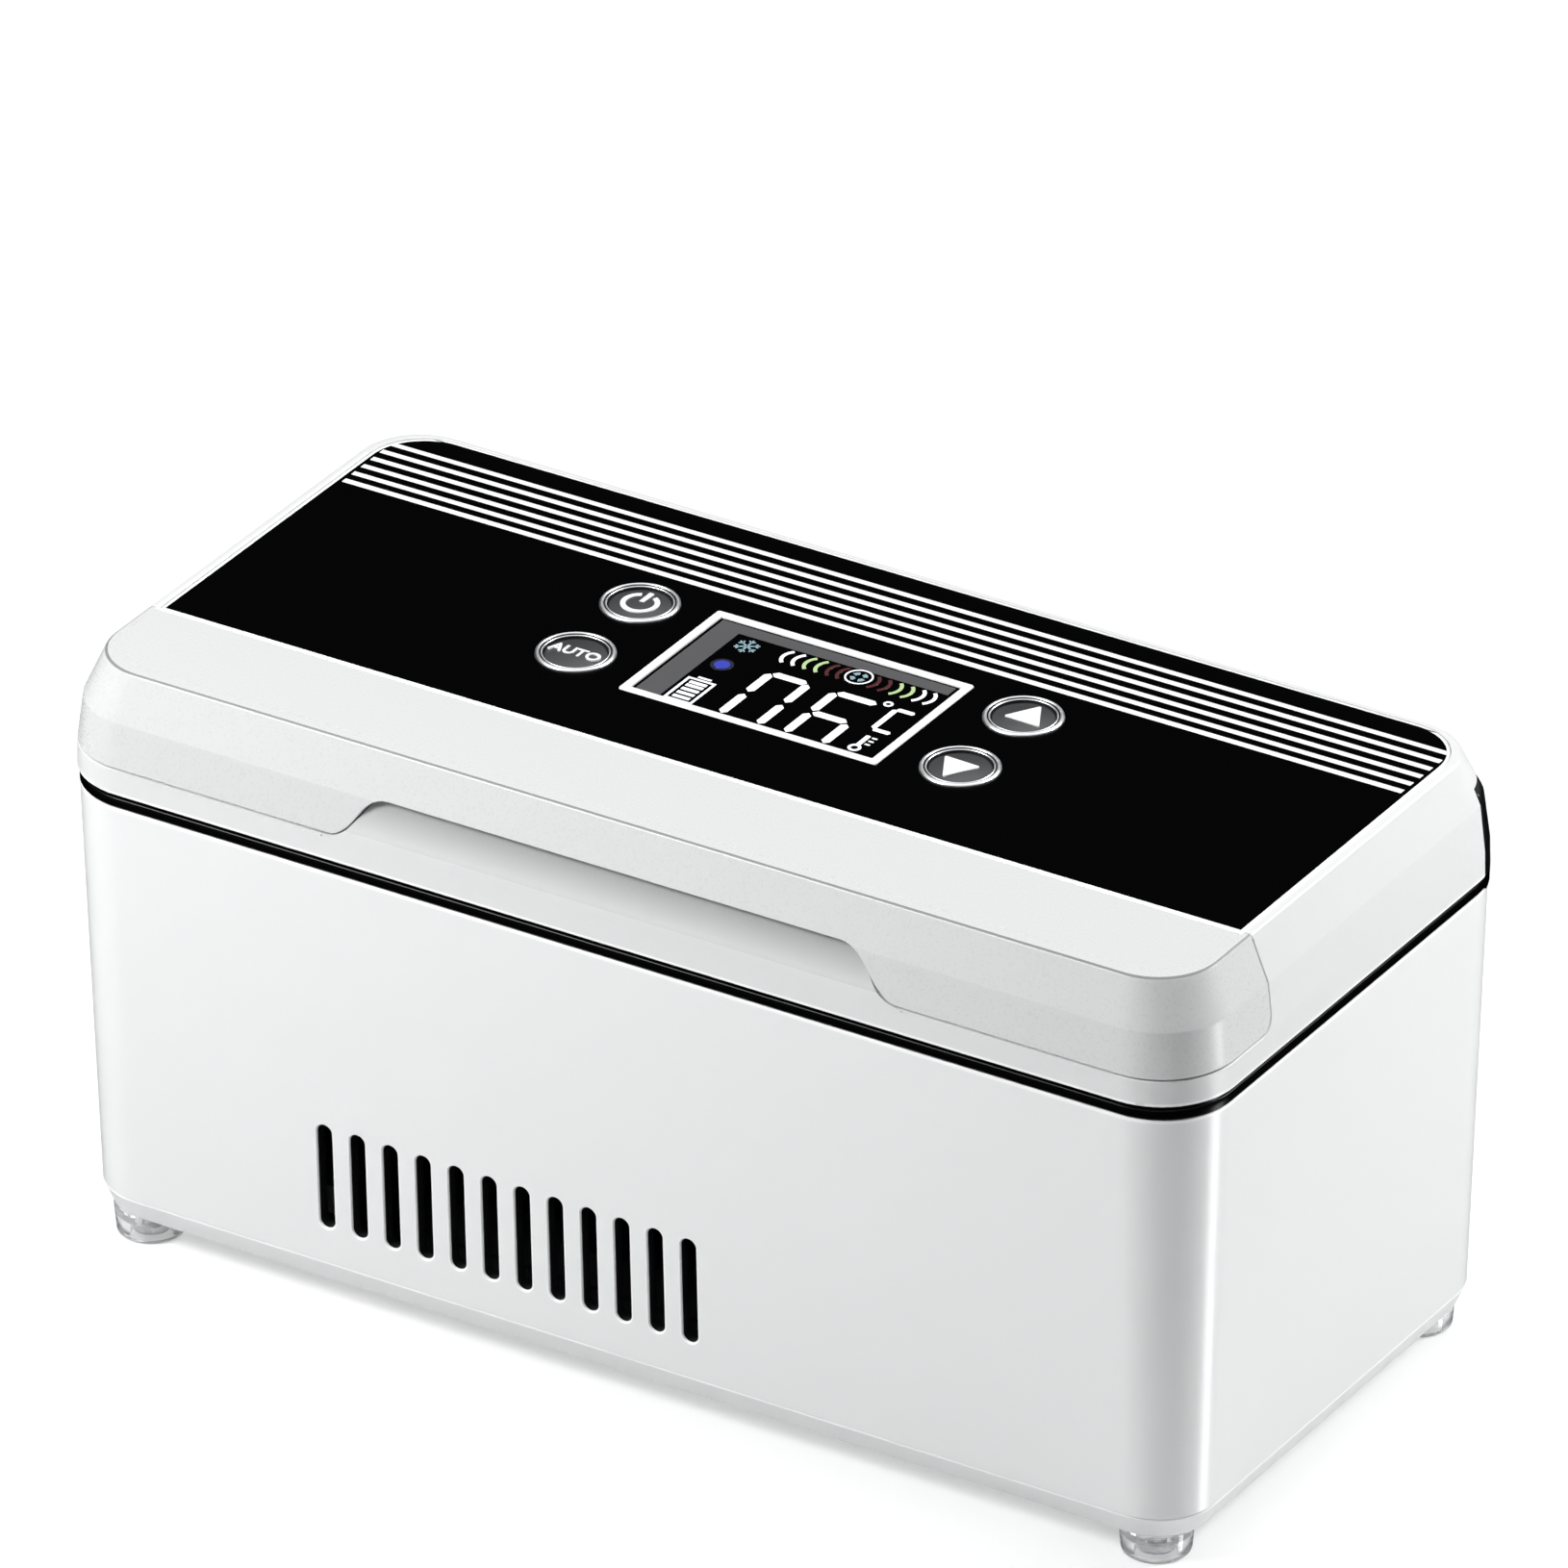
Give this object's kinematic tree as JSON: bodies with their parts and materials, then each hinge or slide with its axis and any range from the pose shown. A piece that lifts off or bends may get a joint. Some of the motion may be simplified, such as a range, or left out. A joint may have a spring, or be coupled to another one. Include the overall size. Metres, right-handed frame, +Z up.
{
  "type": "insulin cooling case",
  "caption": "Small box-shaped cooler on round feet with a hinged lid, front vent slots, a top panel with display and push buttons, and a cold chamber for pens.",
  "frame": {"origin": "on the surface it stands on, under the centre of the box", "axes": "+Z up, +X to the right across the front, the front with the slots faces -Y"},
  "size_m": [0.21, 0.101, 0.1048],
  "materials": {
    "case_white": "smooth gloss white moulding",
    "lid_white": "fine satin white moulding",
    "panel_black": "black printed panel under a clear gloss face, white stripes",
    "seam_black": "black satin moulding",
    "foot_clear": "clear silvery moulding",
    "chrome": "polished plated ring",
    "button_dark": "dark grey cap with a white sign",
    "aluminium": "drawn and lightly brushed",
    "steel": "bright steel",
    "foam": "closed-cell foam",
    "tray_grey": "soft grey tray",
    "seal_rubber": "black soft seal",
    "ceramic": "white ceramic or nylon",
    "board_green": "green circuit board",
    "cell_wrap": "blue shrink wrap",
    "dark_plastic": "black moulding",
    "display_glass": "black display window with lit segments",
    "bezel_white": "white frame round the display"
  },
  "bodies": {
    "case": {"lower_case": "case_white", "base_plate": "lid_white", "seam_frame": "seam_black", "inner_frame": "lid_white", "latch_plate": "steel", "chamber_liner": "aluminium", "insulation_block": "foam", "pen_tray": "tray_grey", "temperature_probe": "dark_plastic", "cold_plate": "aluminium", "peltier_module": "ceramic", "heat_sink": "aluminium", "fan_frame": "dark_plastic", "battery_cradle": "dark_plastic", "main_board": "board_green", "power_inductor": "dark_plastic", "filter_capacitor": "aluminium", "board_connector": "ceramic", "dc_socket": "dark_plastic", "foot_front_left": "foot_clear", "base_screw_front_left": "steel", "foot_front_right": "foot_clear", "base_screw_front_right": "steel", "foot_rear_left": "foot_clear", "base_screw_rear_left": "steel", "foot_rear_right": "foot_clear", "base_screw_rear_right": "steel", "hinge_pin_left": "steel", "hinge_pin_right": "steel", "battery_cell_1": "cell_wrap", "battery_cell_2": "cell_wrap", "battery_cell_3": "cell_wrap"},
    "lid": {"lid_shell": "lid_white", "lid_front_cover": "case_white", "top_panel": "panel_black", "display_bezel": "bezel_white", "display_window": "display_glass", "display_module": "dark_plastic", "control_board": "board_green", "lid_insulation": "foam", "lid_liner": "lid_white", "lid_seal": "seal_rubber", "latch_magnet": "steel", "button_ring_power": "chrome", "button_ring_auto": "chrome", "button_ring_up": "chrome", "button_ring_down": "chrome", "tact_switch_power": "dark_plastic", "tact_switch_auto": "dark_plastic", "tact_switch_up": "dark_plastic", "tact_switch_down": "dark_plastic"},
    "fan": {"fan_rotor": "dark_plastic"},
    "button_power": {"button_power": "button_dark"},
    "button_auto": {"button_auto": "button_dark"},
    "button_up": {"button_up": "button_dark"},
    "button_down": {"button_down": "button_dark"}
  },
  "joints": [
    {"name": "lid_hinge", "type": "hinge", "parent": "case", "child": "lid", "pos_m": [0, 0.0489, 0.0972], "axis": [-1, 0, 0], "range_deg": [0, 100]},
    {"name": "fan_spin", "type": "hinge", "parent": "case", "child": "fan", "pos_m": [-0.02086, 0, 0.0127], "axis": [0, 0, 1], "continuous": true},
    {"name": "button_power_press", "type": "slide", "parent": "lid", "child": "button_power", "axis": [0, 0, -1], "range_m": [0, 0.0006], "stiffness_N_per_m": 2500},
    {"name": "button_auto_press", "type": "slide", "parent": "lid", "child": "button_auto", "axis": [0, 0, -1], "range_m": [0, 0.0006], "stiffness_N_per_m": 2500},
    {"name": "button_up_press", "type": "slide", "parent": "lid", "child": "button_up", "axis": [0, 0, -1], "range_m": [0, 0.0006], "stiffness_N_per_m": 2500},
    {"name": "button_down_press", "type": "slide", "parent": "lid", "child": "button_down", "axis": [0, 0, -1], "range_m": [0, 0.0006], "stiffness_N_per_m": 2500}
  ]
}
